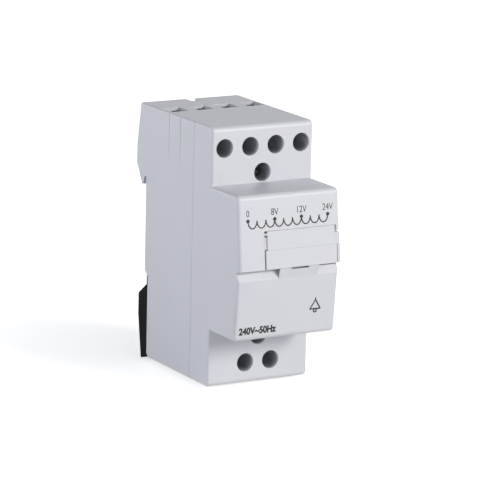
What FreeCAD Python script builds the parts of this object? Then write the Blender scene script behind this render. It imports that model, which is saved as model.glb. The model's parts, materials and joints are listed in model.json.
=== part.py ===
import FreeCAD, Part
import os
import re
import Sketcher

# Bell transformer in a two-module housing for a 35 mm rail.
# Origin: middle of the rail's front face. X runs along the rail, the front looks towards -Y, Z is up.
# A "reach" is a distance in front of the rail face, a "drop" a distance below a stated level.

SIZES = {
    # Housing
    "width": "35.0",
    "nose_height": "45.0",
    "block_height": "18.0",
    "block_reach": "42.4",
    "seam_setback": "11.7",
    "nose_top_reach": "58.5",
    "ledge_reach": "60.9",
    "ledge_drop": "0.3",
    "groove_depth": "2.7",
    "groove_lip": "0.6",
    "groove_height": "3.3",
    "chin_top_reach": "59.9",
    "chin_low_reach": "58.3",
    "tab_left": "3.5",
    "tab_right": "10.1",
    "tab_reach": "60.75",
    "tab_thickness": "0.5",
    "tab_root": "0.3",
    "tab_hollow": "1.0",
    "tab_hollow_height": "2.0",
    "groove_end_reach": "59.5",
    "wall": "1.8",
    "back_wall": "2.0",
    "front_round": "1.6",
    "nose_round": "1.0",
    "block_round": "0.6",
    "seam_line": "0.12",
    "seam_line_depth": "0.3",
    "mark_rear": "14.7",
    "mark_front": "21.9",
    "mark_width": "0.2",
    "mark_depth": "0.2",
    "mark_length": "17.0",
    # Rail side of the base
    "rail_height": "35.0",
    "rail_slot": "1.1",
    "hook_mouth": "2.0",
    "hook_tip": "0.75",
    "hook_drop": "2.7",
    "hook_reach": "6.3",
    "hook_top_reach": "4.0",
    "hook_shoulder": "13.2",
    "hook_flat": "6.4",
    "seat_foot": "12.6",
    "seat_step": "1.6",
    "low_setback": "2.1",
    "heel_chamfer": "1.3",
    "notch_width": "3.3",
    "notch_depth": "4.0",
    "notch_height": "3.0",
    # Rail clip and its guide
    "clip_play": "0.1",
    "clip_plate": "1.1",
    "clip_reach": "4.4",
    "clip_slope": "3.9",
    "clip_back": "6.8",
    "clip_tail": "2.2",
    "tail_drop": "1.2",
    "catch_width": "16.0",
    "catch_rise": "1.1",
    "catch_thickness": "0.9",
    "neck_width": "10.0",
    "neck_depth": "1.7",
    "tongue_width": "16.0",
    "tongue_depth": "1.6",
    "tongue_drop": "19.0",
    "clip_headroom": "1.0",
    "clip_gap": "0.4",
    "clip_side": "0.3",
    "clip_rise": "0.5",
    "guide_wall": "2.6",
    "arm_width": "1.4",
    "arm_slit": "0.7",
    "arm_length": "15.0",
    "pry_width": "6.0",
    "pry_depth": "1.2",
    "pry_height": "3.5",
    "pry_reach": "0.4",
    # Screw terminals
    "terminal_edge": "4.15",
    "terminal_drop": "6.6",
    "access_bore": "5.8",
    "chamber_width": "6.3",
    "chamber_height": "7.4",
    "chamber_floor": "1.0",
    "chamber_back": "6.9",
    "entry_width": "5.8",
    "entry_depth": "6.4",
    "entry_reach": "11.1",
    "entry_lip": "1.05",
    "screw_head": "6.0",
    "screw_head_height": "2.8",
    "screw_shank": "3.9",
    "screw_slot": "1.0",
    "screw_slot_depth": "1.4",
    "screw_gap": "0.2",
    "thread_play": "0.05",
    "cage_play": "0.2",
    "cage_height": "6.6",
    "cage_wall": "0.8",
    "cage_front": "2.2",
    "cage_rear": "1.1",
    "cage_gap": "0.3",
    "bar_reach": "14.3",
    "bar_thickness": "1.0",
    "bar_width": "4.0",
    "bar_play": "0.1",
    "bar_tail": "3.0",
    # Screws that hold the cover
    "fixing_rise": "3.1",
    "fixing_seat": "4.0",
    "fixing_head": "5.2",
    "fixing_head_height": "2.2",
    "fixing_shank": "2.4",
    "fixing_play": "0.1",
    "fixing_clearance": "0.2",
    "pillar": "7.8",
    "pillar_web": "4.0",
    "pillar_end": "1.2",
    "pillar_gap": "2.2",
    "pilot_gap": "4.0",
    "cover_boss": "8.6",
    # Core, coil former and windings
    "core_seat": "9.2",
    "core_leg": "12.8",
    "core_yoke": "6.4",
    "window_width": "6.4",
    "window_length": "19.2",
    "coil_gap": "1.6",
    "former_play": "0.2",
    "former_wall": "0.9",
    "former_flange": "1.0",
    "former_margin": "0.3",
    "winding_margin": "0.5",
    "winding_round": "2.0",
    "rib_thickness": "2.0",
    "rib_inset": "1.5",
    "link_thickness": "1.7",
    "link_length": "9.0",
    "link_width": "6.0",
    "link_round": "0.6",
    "lead": "1.1",
    "lead_drop": "2.5",
    "lead_inset": "1.7",
    "lead_spread": "2.4",
    "lead_clearance": "1.5",
    # Label flap
    "flap_width": "25.9",
    "flap_height": "11.5",
    "flap_thickness": "1.5",
    "flap_play": "0.3",
    "flap_side_gap": "0.5",
    "flap_top_gap": "0.12",
    "flap_foot_gap": "0.1",
    "flap_notch": "0.7",
    "flap_strip": "5.75",
    "flap_strip_recess": "0.3",
    "flap_back_round": "0.4",
    "flap_line": "0.25",
    "latch_left": "0.5",
    "latch_width": "6.1",
    "latch_height": "0.5",
    "rest_inset": "0.25",
    "rest_recess": "0.4",
    "hinge_drop": "1.0",
    "hinge_pin": "0.8",
    "hinge_pin_play": "0.05",
    "hinge_pin_length": "0.8",
    "ear_width": "1.3",
    "ear_height": "2.0",
    "ear_gap": "0.6",
    "trough": "1.29",
}

doc = FreeCAD.newDocument("bell_transformer")
sheet = doc.addObject("Spreadsheet::Sheet", "sizes")
for row, (alias, number) in enumerate(SIZES.items(), start=1):
    sheet.set(f"A{row}", alias)
    sheet.set(f"B{row}", number)
    sheet.setAlias(f"B{row}", alias)
doc.recompute()

WORD = re.compile(r"[a-z][a-z_]+")
NEAR = 1e-4


def formula(text):
    """The expression with every size looked up in the sheet."""
    return WORD.sub(lambda found: f"sizes.{found.group()}", str(text))


def value(text):
    """The expression's number in millimetres."""
    return float(sheet.evalExpression(str(text)))


def bind(item, name, text):
    """Ties a property to an expression on the sheet's sizes."""
    item.setExpression(name, formula(text))


def new_body(label):
    """An empty body with the sub-part's name."""
    body = doc.addObject("PartDesign::Body", label)
    body.Label = label
    return body


def new_sketch(body, name, plane, offset):
    """A sketch on one of the body's own planes, moved along the plane's normal."""
    sketch = body.newObject("Sketcher::SketchObject", f"{body.Label}_{name}")
    support = [item for item in body.Origin.OriginFeatures if item.Role == plane][0]
    sketch.AttachmentSupport = [(support, "")]
    sketch.MapMode = "FlatFace"
    bind(sketch, "AttachmentOffset.Base.z", offset)
    return sketch


def fix_point(sketch, geometry, position, across, up):
    """Holds one sketch point at bound distances from the sketch's origin."""
    for kind, text in (("DistanceX", across), ("DistanceY", up)):
        index = sketch.addConstraint(Sketcher.Constraint(kind, -1, 1, geometry, position, value(text)))
        bind(sketch, f"Constraints[{index}]", text)


def draw_outline(sketch, corners):
    """A closed outline of straight edges through corners given as expressions."""
    points = [FreeCAD.Vector(value(across), value(up), 0) for across, up in corners]
    edges = [sketch.addGeometry(Part.LineSegment(point, points[(i + 1) % len(points)]))
             for i, point in enumerate(points)]
    for i, edge in enumerate(edges):
        sketch.addConstraint(Sketcher.Constraint("Coincident", edge, 2, edges[(i + 1) % len(edges)], 1))
        fix_point(sketch, edge, 1, *corners[i])


def draw_circle(sketch, across, up, diameter):
    """A circle at a bound place with a bound diameter."""
    centre = FreeCAD.Vector(value(across), value(up), 0)
    circle = sketch.addGeometry(Part.Circle(centre, FreeCAD.Vector(0, 0, 1), value(diameter) / 2))
    fix_point(sketch, circle, 3, across, up)
    index = sketch.addConstraint(Sketcher.Constraint("Diameter", circle, value(diameter)))
    bind(sketch, f"Constraints[{index}]", diameter)


def rectangle(left, right, low, high):
    """The four corners of a rectangle."""
    return [(left, low), (right, low), (right, high), (left, high)]


def sweep(body, kind, name, plane, start, end, outlines=(), circles=()):
    """A pad or pocket of outlines and circles between two levels of the plane's normal."""
    sketch = new_sketch(body, f"{name}_sketch", plane, start)
    for corners in outlines:
        draw_outline(sketch, corners)
    for circle in circles:
        draw_circle(sketch, *circle)
    feature = body.newObject(f"PartDesign::{kind}", f"{body.Label}_{name}")
    feature.Profile = sketch
    feature.Reversed = kind == "Pocket"
    bind(feature, "Length", f"({end}) - ({start})")
    doc.recompute()
    return feature


def pad(body, name, plane, start, end, **shapes):
    """Adds material along the plane's normal."""
    return sweep(body, "Pad", name, plane, start, end, **shapes)


def pocket(body, name, plane, start, end, **shapes):
    """Takes material away along the plane's normal, and stops if nothing was there."""
    before = body.Shape.Volume
    feature = sweep(body, "Pocket", name, plane, start, end, **shapes)
    if body.Shape.Volume > before - NEAR:
        raise RuntimeError(f"{feature.Name} cuts nothing")
    return feature


def round_edges(body, name, radius, wanted):
    """Rounds the edges of the body so far that the test picks."""
    edges = [f"Edge{i}" for i, edge in enumerate(body.Tip.Shape.Edges, start=1) if wanted(edge)]
    if not edges:
        raise RuntimeError(f"{body.Label}_{name} finds no edge")
    base = body.Tip
    feature = body.newObject("PartDesign::Fillet", f"{body.Label}_{name}")
    feature.Base = (base, edges)
    bind(feature, "Radius", radius)
    doc.recompute()
    return feature


def edge_along(axis, *places):
    """A test for straight edges along one axis that pass through any of the places."""
    others = [i for i in range(3) if i != axis]

    def wanted(edge):
        ends = [vertex.Point for vertex in edge.Vertexes]
        if len(ends) < 2 or any(abs(ends[0][i] - ends[1][i]) > NEAR for i in others):
            return False
        return any(all(abs(ends[0][i] - place[k]) < NEAR for k, i in enumerate(others)) for place in places)

    return wanted


# Levels and places that several pieces share

HALF_WIDTH = "width / 2"
HALF_NOSE = "nose_height / 2"
HALF_HEIGHT = "(nose_height / 2 + block_height)"
SEAM = "(block_reach - seam_setback)"
INNER = "(width / 2 - wall)"
OUTER_TERMINAL = "(width / 2 - terminal_edge)"
TAP_PLACES = [f"{step} * {OUTER_TERMINAL}" for step in ("-1", "-1 / 3", "1 / 3", "1")]
MAINS_PLACES = TAP_PLACES[1:3]
SPARE_PLACES = TAP_PLACES[::3]
TERMINAL_Z = f"({HALF_HEIGHT} - terminal_drop)"
CHAMBER_LOW = f"({TERMINAL_Z} - chamber_height / 2)"
CAVITY_Z = f"({CHAMBER_LOW} - chamber_floor)"
CAVITY_BACK = "(low_setback + back_wall)"
FIXING_Z = f"({HALF_NOSE} + fixing_rise)"
FIXING_PLACES = [FIXING_Z, f"-{FIXING_Z}"]
HALF_RAIL = "rail_height / 2"
TONGUE_BACK = "(low_setback + neck_depth)"
TONGUE_FRONT = f"({TONGUE_BACK} + tongue_depth)"
PILLAR_BACK = "(bar_reach + bar_thickness + pillar_gap)"
PILOT_BACK = f"({PILLAR_BACK} + pillar_end)"
HALF_CORE = "(core_leg / 2 + window_width + core_yoke)"
FLANGE_X = f"({INNER} - coil_gap)"
HALF_STACK = f"({FLANGE_X} + former_margin - window_width)"
WINDOW_BACK = "(core_seat + core_yoke)"
WINDOW_FRONT = f"({WINDOW_BACK} + window_length)"
FORMER_BACK = f"({WINDOW_BACK} + former_play)"
FORMER_FRONT = f"({WINDOW_FRONT} - former_play)"
COIL_LENGTH = f"(({FORMER_FRONT} - {FORMER_BACK} - 3 * former_flange) / 2)"
PRIMARY_BACK = f"({FORMER_BACK} + former_flange)"
SECONDARY_BACK = f"({PRIMARY_BACK} + {COIL_LENGTH} + former_flange)"
TUBE_X = f"({HALF_STACK} + former_play + former_wall)"
TUBE_Z = "(core_leg / 2 + former_play + former_wall)"
FLANGE_Z = "(core_leg / 2 + window_width - former_margin)"
COIL_X = f"({FLANGE_X} - winding_margin)"
COIL_Z = f"({FLANGE_Z} - winding_margin)"
SCREW_FRONT = f"({SEAM} - screw_gap)"
SCREW_TIP = "(bar_reach + bar_thickness + bar_play)"
CAGE_BACK = "(chamber_back + cage_gap)"
FLAP_TOP = "(flap_height - ledge_drop)"
FLAP_LEFT = "(width / 2 - flap_width)"
STRIP_TOP = "(flap_strip - ledge_drop)"
HINGE_Z = f"({FLAP_TOP} - hinge_drop)"
EAR_FOOT = f"({FLAP_TOP} + flap_play - ear_height)"


def face_reach(level):
    """How far the sloping upper face of the nose reaches at a level."""
    slope = f"(ledge_reach - nose_top_reach) / ({HALF_NOSE} + ledge_drop)"
    return f"(nose_top_reach + {slope} * ({HALF_NOSE} - ({level})))"


HINGE_REACH = f"({face_reach(HINGE_Z)} - flap_thickness / 2)"
SIDES = (1, -1)


def terminals():
    """Name, place along X and side of every screw terminal: taps above, mains below."""
    taps = [(f"tap_{{}}_{i}", place, 1) for i, place in enumerate(TAP_PLACES, start=1)]
    mains = [(f"mains_{{}}_{i}", place, -1) for i, place in enumerate(MAINS_PLACES, start=1)]
    return taps + mains


def chamber(place, side):
    """Outline of one terminal chamber across the housing."""
    middle = f"{side} * {TERMINAL_Z}"
    return rectangle(f"{place} - chamber_width / 2", f"{place} + chamber_width / 2",
                     f"{middle} - chamber_height / 2", f"{middle} + chamber_height / 2")


def build_front_cover():
    """Cover with the nose, the terminal fronts and the seat of the label flap."""
    body = new_body("front_cover")
    groove_back = "(ledge_reach - groove_depth)"
    groove_top = "(-ledge_drop - groove_lip)"
    groove_foot = "(-ledge_drop - groove_height)"
    pad(body, "shell", "YZ_Plane", f"-{HALF_WIDTH}", HALF_WIDTH, outlines=[[
        (f"-{SEAM}", HALF_HEIGHT), (f"-{SEAM}", f"-{HALF_HEIGHT}"),
        ("-block_reach", f"-{HALF_HEIGHT}"), ("-block_reach", f"-{HALF_NOSE}"),
        ("-chin_low_reach", f"-{HALF_NOSE}"), ("-chin_top_reach", groove_foot),
        (f"-{groove_back}", groove_top), ("-ledge_reach", "-ledge_drop"),
        ("-nose_top_reach", HALF_NOSE), ("-block_reach", HALF_NOSE),
        ("-block_reach", HALF_HEIGHT)]])
    half_height, half_nose = value(HALF_HEIGHT), value(HALF_NOSE)
    block_front, half_width = -value("block_reach"), value(HALF_WIDTH)
    round_edges(body, "front_edges", "front_round", edge_along(
        0, (block_front, half_height), (block_front, -half_height),
        (-value("nose_top_reach"), half_nose), (-value("chin_low_reach"), -half_nose)))

    def nose_side(edge):
        middle = edge.CenterOfMass
        on_side = abs(abs(middle.x) - half_width) < NEAR
        return on_side and middle.y < block_front - NEAR and edge.Length > half_nose / 2 and (
            abs(edge.Vertexes[0].Y - edge.Vertexes[1].Y) < abs(edge.Vertexes[0].Z - edge.Vertexes[1].Z))

    round_edges(body, "nose_sides", "nose_round", nose_side)
    rounded_from = half_height - value("front_round")

    def block_side(edge):
        middle = edge.CenterOfMass
        if abs(abs(middle.x) - half_width) > NEAR or len(edge.Vertexes) < 2:
            return False
        return abs(middle.z) > rounded_from or all(abs(end.Y - block_front) < NEAR for end in edge.Vertexes)

    round_edges(body, "block_sides", "block_round", block_side)

    inner_chin_foot = f"(-{HALF_NOSE} + wall)"
    thick = "(flap_thickness + flap_play + wall)"
    pocket(body, "inside", "YZ_Plane", f"-{INNER}", INNER, outlines=[[
        (f"-{SEAM}", CAVITY_Z), (f"-{SEAM}", f"-{CAVITY_Z}"),
        ("-block_reach + wall", f"-{CAVITY_Z}"), ("-block_reach + wall", inner_chin_foot),
        (f"-(chin_low_reach - {thick})", inner_chin_foot),
        (f"-({groove_back} - wall)", groove_foot), (f"-({groove_back} - wall)", "-ledge_drop"),
        (f"-(nose_top_reach - {thick})", f"{HALF_NOSE} - wall"),
        ("-block_reach + wall", f"{HALF_NOSE} - wall"), ("-block_reach + wall", CAVITY_Z)]])

    seat_left = f"({FLAP_LEFT} - flap_side_gap)"
    ear_left = f"({HALF_WIDTH} - ear_width)"
    depth = "(flap_thickness + flap_play)"
    outside = "(ledge_reach + wall)"
    for name, low, high, right in (("seat_low", groove_top, EAR_FOOT, f"{HALF_WIDTH} + wall"),
                                   ("seat_high", EAR_FOOT, f"({FLAP_TOP} + flap_top_gap)", ear_left)):
        pocket(body, name, "YZ_Plane", seat_left, right, outlines=[[
            (f"-{outside}", low), (f"-({face_reach(low)} - {depth})", low),
            (f"-({face_reach(high)} - {depth})", high), (f"-{outside}", high)]])
    hinge = (f"-{HINGE_REACH}", HINGE_Z)
    pocket(body, "trough", "YZ_Plane", seat_left, ear_left, circles=[(*hinge, "2 * trough")])
    socket = (*hinge, "hinge_pin + 2 * hinge_pin_play")
    pocket(body, "left_socket", "YZ_Plane", f"{seat_left} - hinge_pin_length - flap_play", seat_left,
           circles=[socket])
    pocket(body, "right_socket", "YZ_Plane", ear_left, f"{ear_left} + hinge_pin_length + hinge_pin_play",
           circles=[socket])
    rest_low, rest_high = f"({STRIP_TOP} + flap_play)", f"({HINGE_Z} - hinge_pin)"
    rest_back = f"({depth} + wall / 4)"
    rest_right = f"({FLAP_LEFT} + flap_notch - rest_inset)"
    pad(body, "flap_rest", "YZ_Plane", f"{seat_left} + rest_inset", rest_right,
        outlines=[[(f"-({face_reach(rest_low)} - rest_recess)", rest_low),
                   (f"-({face_reach(rest_low)} - {rest_back})", rest_low),
                   (f"-({face_reach(rest_high)} - {rest_back})", rest_high),
                   (f"-({face_reach(rest_high)} - rest_recess)", rest_high)]])

    tab_top = "(-ledge_drop - flap_foot_gap)"
    root = ("-(chin_top_reach - tab_thickness)", f"{groove_foot} - tab_root")
    pocket(body, "tab_hollow", "YZ_Plane", "-tab_left", "tab_right - tab_thickness", outlines=[
        rectangle(f"-{groove_back}", f"-({groove_back} - tab_hollow)", f"{groove_top} - tab_hollow_height",
                  groove_top)])
    pad(body, "tab", "YZ_Plane", "-tab_left", "tab_right", outlines=[[
        ("-tab_reach", tab_top), ("-chin_top_reach", groove_foot), root,
        ("-(tab_reach - tab_thickness)", tab_top)]])
    pad(body, "groove_end", "YZ_Plane", "tab_right - tab_thickness", f"{HALF_WIDTH} - nose_round / 2",
        outlines=[[("-groove_end_reach", groove_top), ("-chin_top_reach", groove_foot), root,
                   (f"-({groove_back} - wall / 2)", groove_top)]])
    pocket(body, "latch_slot", "XZ_Plane", "tab_reach - 2 * tab_thickness", "tab_reach", outlines=[
        rectangle("latch_left", "latch_left + latch_width", f"{tab_top} - latch_height", tab_top)])

    pad(body, "bosses", "XZ_Plane", SEAM, "block_reach - wall / 2",
        circles=[("0", place, "cover_boss") for place in FIXING_PLACES])
    core_front = f"({WINDOW_FRONT} + core_yoke)"
    rib_z = f"({HALF_CORE} - rib_inset)"
    pad(body, "core_ribs", "XZ_Plane", core_front, "nose_top_reach - wall", outlines=[
        rectangle(f"-{HALF_STACK}", HALF_STACK, f"{side} * {rib_z} - rib_thickness / 2",
                  f"{side} * {rib_z} + rib_thickness / 2") for side in SIDES])
    bores = [(place, f"{side} * {TERMINAL_Z}", "access_bore") for _, place, side in terminals()]
    pocket(body, "access_bores", "XZ_Plane", SEAM, "block_reach", circles=bores)
    pocket(body, "spare_chambers", "XZ_Plane", SEAM, "block_reach - wall",
           outlines=[chamber(place, -1) for place in SPARE_PLACES])
    pocket(body, "fixing_holes", "XZ_Plane", SEAM, f"{SEAM} + fixing_seat",
           circles=[("0", place, "fixing_shank + 2 * fixing_clearance") for place in FIXING_PLACES])
    pocket(body, "fixing_bores", "XZ_Plane", f"{SEAM} + fixing_seat", "block_reach",
           circles=[("0", place, "access_bore") for place in FIXING_PLACES])
    return body


def build_rear_base():
    """Base with the rail hook, the terminal chambers, the wire entries and the clip guide."""
    body = new_body("rear_base")
    hook_low = f"({HALF_RAIL} - hook_drop)"
    shoulder = f"({HALF_HEIGHT} - hook_shoulder)"
    pad(body, "shell", "YZ_Plane", f"-{HALF_WIDTH}", HALF_WIDTH, outlines=[[
        (f"-{SEAM}", f"-{HALF_HEIGHT}"), ("-low_setback - heel_chamfer", f"-{HALF_HEIGHT}"),
        ("-low_setback", f"-{HALF_HEIGHT} + heel_chamfer"), ("-low_setback", "-seat_foot - seat_step"),
        ("0", "-seat_foot"), ("0", HALF_RAIL), ("rail_slot", HALF_RAIL), ("hook_mouth", hook_low),
        ("hook_mouth + hook_tip", hook_low), ("hook_reach", f"{shoulder} - hook_flat"),
        ("hook_reach", shoulder), ("hook_top_reach", HALF_HEIGHT), (f"-{SEAM}", HALF_HEIGHT)]])
    half_height, half_width = value(HALF_HEIGHT), value(HALF_WIDTH)
    round_edges(body, "long_edges", "block_round", edge_along(
        1, *[(x * half_width, z * half_height) for x in SIDES for z in SIDES]))
    pocket(body, "inside", "YZ_Plane", f"-{INNER}", INNER, outlines=[
        rectangle(f"-{SEAM}", f"-{CAVITY_BACK}", f"-{CAVITY_Z}", CAVITY_Z)])

    channel_half = "(tongue_width / 2 + clip_play)"
    channel_top = "(-tongue_drop + clip_headroom)"
    pad(body, "clip_guide", "XY_Plane", f"-{CAVITY_Z}", f"{channel_top} + guide_wall", outlines=[
        rectangle(f"-{channel_half} - guide_wall", f"{channel_half} + guide_wall",
                  "-core_seat", f"-{CAVITY_BACK}")])
    pocket(body, "clip_channel", "XY_Plane", f"-{HALF_HEIGHT}", channel_top, outlines=[
        rectangle(f"-{channel_half}", channel_half, f"-{TONGUE_FRONT} - clip_play",
                  f"-{TONGUE_BACK} + clip_play")])
    pocket(body, "clip_neck", "XY_Plane", f"-{HALF_HEIGHT}", channel_top, outlines=[
        rectangle("-neck_width / 2 - clip_play", "neck_width / 2 + clip_play", f"-{TONGUE_BACK}", "0")])

    pad(body, "pillar_webs", "XZ_Plane", PILLAR_BACK, SEAM, outlines=[
        rectangle("-pillar_web / 2", "pillar_web / 2", *sorted(
            (f"{side} * {FIXING_Z}", f"{side} * ({CAVITY_Z} + chamber_floor / 2)"), key=value))
        for side in SIDES])
    pad(body, "pillars", "XZ_Plane", PILLAR_BACK, SEAM,
        circles=[("0", place, "pillar") for place in FIXING_PLACES])
    pocket(body, "pilot_holes", "XZ_Plane", PILOT_BACK, SEAM,
           circles=[("0", place, "fixing_shank + 2 * fixing_play") for place in FIXING_PLACES])
    rib_z = f"({HALF_CORE} - rib_inset)"
    pad(body, "core_rib", "XZ_Plane", CAVITY_BACK, "core_seat", outlines=[
        rectangle(f"-{INNER}", INNER, f"{rib_z} - rib_thickness / 2", f"{rib_z} + rib_thickness / 2")])

    used = [chamber(place, side) for _, place, side in terminals()]
    spare = [chamber(place, -1) for place in SPARE_PLACES]
    pocket(body, "chambers", "XZ_Plane", "chamber_back", SEAM, outlines=used + spare)
    for side, places in ((1, TAP_PLACES), (-1, MAINS_PLACES)):
        name = "top" if side > 0 else "bottom"
        mouth = [rectangle(f"{place} - entry_width / 2", f"{place} + entry_width / 2",
                           "-entry_reach - entry_depth / 2", "-entry_reach + entry_depth / 2")
                 for place in places]
        throat = [rectangle(f"{place} - chamber_width / 2", f"{place} + chamber_width / 2",
                            "-entry_reach - entry_depth / 2", "-chamber_back") for place in places]
        slot = [rectangle(f"{place} - bar_width / 2 - bar_play", f"{place} + bar_width / 2 + bar_play",
                          "-bar_reach - bar_thickness - bar_play", "-bar_reach + bar_play")
                for place in places]
        lip = f"({HALF_HEIGHT} - entry_lip)"
        for part, outlines, low, high in (("throats", throat, TERMINAL_Z, lip),
                                          ("mouths", mouth, TERMINAL_Z, HALF_HEIGHT),
                                          ("bar_slots", slot, CAVITY_Z, CHAMBER_LOW)):
            start, end = (low, high) if side > 0 else (f"-({high})", f"-({low})")
            pocket(body, f"{name}_{part}", "XY_Plane", start, end, outlines=outlines)
    pocket(body, "rear_notch", "XY_Plane", f"{HALF_HEIGHT} - notch_height", HALF_HEIGHT, outlines=[
        rectangle("-notch_width / 2", "notch_width / 2", "hook_top_reach - notch_depth",
                  "hook_reach")])
    pocket(body, "seam_line", "XZ_Plane", f"{SEAM} - seam_line", SEAM, outlines=[
        rectangle(f"-{HALF_WIDTH} - wall", f"{HALF_WIDTH} + wall", f"-{HALF_HEIGHT} - wall",
                  f"{HALF_HEIGHT} + wall"),
        rectangle(f"-{HALF_WIDTH} + seam_line_depth", f"{HALF_WIDTH} - seam_line_depth",
                  f"-{HALF_HEIGHT} + seam_line_depth", f"{HALF_HEIGHT} - seam_line_depth")])
    marks = [[(f"{side} * {HALF_WIDTH}", HALF_HEIGHT),
              (f"{side} * ({HALF_WIDTH} - mark_depth)", HALF_HEIGHT),
              (f"{side} * {HALF_WIDTH}", f"{HALF_HEIGHT} - mark_length")] for side in SIDES]
    for reach in ("mark_rear", "mark_front"):
        pocket(body, f"{reach}_lines", "XZ_Plane", f"{reach} - mark_width / 2", f"{reach} + mark_width / 2",
               outlines=marks)
    return body


def build_label_flap():
    """Flap that closes the label seat and turns on two stub pins at its top."""
    body = new_body("label_flap")
    foot = "(-ledge_drop)"
    strip = STRIP_TOP
    pad(body, "plate", "YZ_Plane", FLAP_LEFT, HALF_WIDTH, outlines=[[
        (f"-{face_reach(foot)}", foot), (f"-({face_reach(foot)} - flap_thickness)", foot),
        (f"-({face_reach(FLAP_TOP)} - flap_thickness)", FLAP_TOP),
        (f"-{face_reach(FLAP_TOP)}", FLAP_TOP)]])
    back_top = (-value(f"{face_reach(FLAP_TOP)} - flap_thickness"), value(FLAP_TOP))
    round_edges(body, "back_edge", "flap_back_round", edge_along(0, back_top))
    pocket(body, "upper_strip", "YZ_Plane", FLAP_LEFT, HALF_WIDTH, outlines=[[
        (f"-{face_reach(strip)}", strip), (f"-({face_reach(strip)} - flap_strip_recess)", strip),
        (f"-({face_reach(FLAP_TOP)} - flap_strip_recess)", FLAP_TOP),
        (f"-{face_reach(FLAP_TOP)}", FLAP_TOP)]])
    pin_left = f"({FLAP_LEFT} + flap_notch)"
    pin_right = f"({HALF_WIDTH} - ear_width - flap_play)"
    behind = f"({face_reach(FLAP_TOP)} - 2 * flap_thickness)"
    pocket(body, "corners", "XZ_Plane", behind, "ledge_reach", outlines=[
        rectangle(FLAP_LEFT, pin_left, strip, FLAP_TOP),
        rectangle(pin_right, HALF_WIDTH, f"{EAR_FOOT} - ear_gap", FLAP_TOP)])
    end_line = f"({HALF_WIDTH} - nose_round)"
    pocket(body, "end_line", "YZ_Plane", f"{end_line} - flap_line / 2", f"{end_line} + flap_line / 2",
           outlines=[[(f"-{face_reach(foot)}", foot), (f"-({face_reach(foot)} - flap_line)", foot),
                      (f"-({face_reach(strip)} - flap_line)", strip), (f"-{face_reach(strip)}", strip)]])
    pin = (f"-{HINGE_REACH}", HINGE_Z, "hinge_pin")
    pad(body, "left_pin", "YZ_Plane", f"{FLAP_LEFT} - flap_side_gap - hinge_pin_length",
        f"{pin_left} + hinge_pin", circles=[pin])
    pad(body, "right_pin", "YZ_Plane", f"{pin_right} - hinge_pin",
        f"{HALF_WIDTH} - ear_width + hinge_pin_length", circles=[pin])
    return body


def build_rail_clip():
    """Sliding clip: wedge, central catch, tongue with two spring arms and a slot for prying."""
    body = new_body("rail_clip")
    front = "(low_setback - clip_play)"
    plate = f"({front} - clip_plate)"
    top = "(-seat_foot - seat_step - clip_gap)"
    wedge = f"(-{HALF_RAIL} + clip_rise)"
    heel = f"(-{HALF_HEIGHT} - tail_drop)"
    side = f"({HALF_WIDTH} - clip_side)"
    pad(body, "wedge", "YZ_Plane", f"-{side}", side, outlines=[[
        (f"-{front}", top), (f"-{front}", f"-{HALF_HEIGHT}"), ("clip_tail", heel),
        ("clip_reach", f"{wedge} - clip_slope - clip_back"), ("clip_reach", f"{wedge} - clip_slope"),
        (f"-{plate}", wedge), (f"-{plate}", f"{top} + clip_plate * seat_step / low_setback")]])
    pad(body, "catch", "YZ_Plane", "-catch_width / 2", "catch_width / 2", outlines=[[
        ("rail_slot", f"{wedge} - clip_slope"), ("clip_reach", f"{wedge} - clip_slope"),
        ("rail_slot + catch_thickness", f"-{HALF_RAIL} + catch_rise"),
        ("rail_slot", f"-{HALF_RAIL} + catch_rise")]])
    pad(body, "neck", "XY_Plane", f"-{HALF_HEIGHT}", "-tongue_drop", outlines=[
        rectangle("-neck_width / 2", "neck_width / 2", f"-{TONGUE_BACK}", f"-{front}")])
    pad(body, "tongue", "XY_Plane", f"-{HALF_HEIGHT}", "-tongue_drop", outlines=[
        rectangle("-tongue_width / 2", "tongue_width / 2", f"-{TONGUE_FRONT}", f"-{TONGUE_BACK}")])
    slit = "(tongue_width / 2 - arm_width)"
    pocket(body, "arm_slits", "XZ_Plane", TONGUE_BACK, TONGUE_FRONT, outlines=[
        rectangle(*sorted((f"{hand} * {slit}", f"{hand} * ({slit} - arm_slit)"), key=value),
                  "-tongue_drop - arm_length", "-tongue_drop") for hand in SIDES])
    pocket(body, "pry_slot", "XY_Plane", heel, f"{heel} + pry_height", outlines=[
        rectangle("-pry_width / 2", "pry_width / 2", "-pry_reach", "-pry_reach + pry_depth")])
    return body


def turned_screw(label, front, seat, tip, head, shank, place):
    """A screw along Y: head from front to seat, shank to the tip, with a slotted head."""
    body = new_body(label)
    across, height = place
    bind(body, "Placement.Base.x", across)
    bind(body, "Placement.Base.z", height)
    sketch = new_sketch(body, "half", "XY_Plane", "0")
    draw_outline(sketch, [
        ("0", f"-{front}"), (f"{head} / 2", f"-{front}"), (f"{head} / 2", f"-{seat}"),
        (f"{shank} / 2", f"-{seat}"), (f"{shank} / 2", f"-{tip}"), ("0", f"-{tip}")])
    turned = body.newObject("PartDesign::Revolution", f"{label}_turned")
    turned.Profile = sketch
    turned.ReferenceAxis = (sketch, ["V_Axis"])
    doc.recompute()
    pocket(body, "slot", "XZ_Plane", f"{front} - screw_slot_depth", front, outlines=[
        rectangle(f"-{head} / 2", f"{head} / 2", "-screw_slot / 2", "screw_slot / 2")])
    return body


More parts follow.
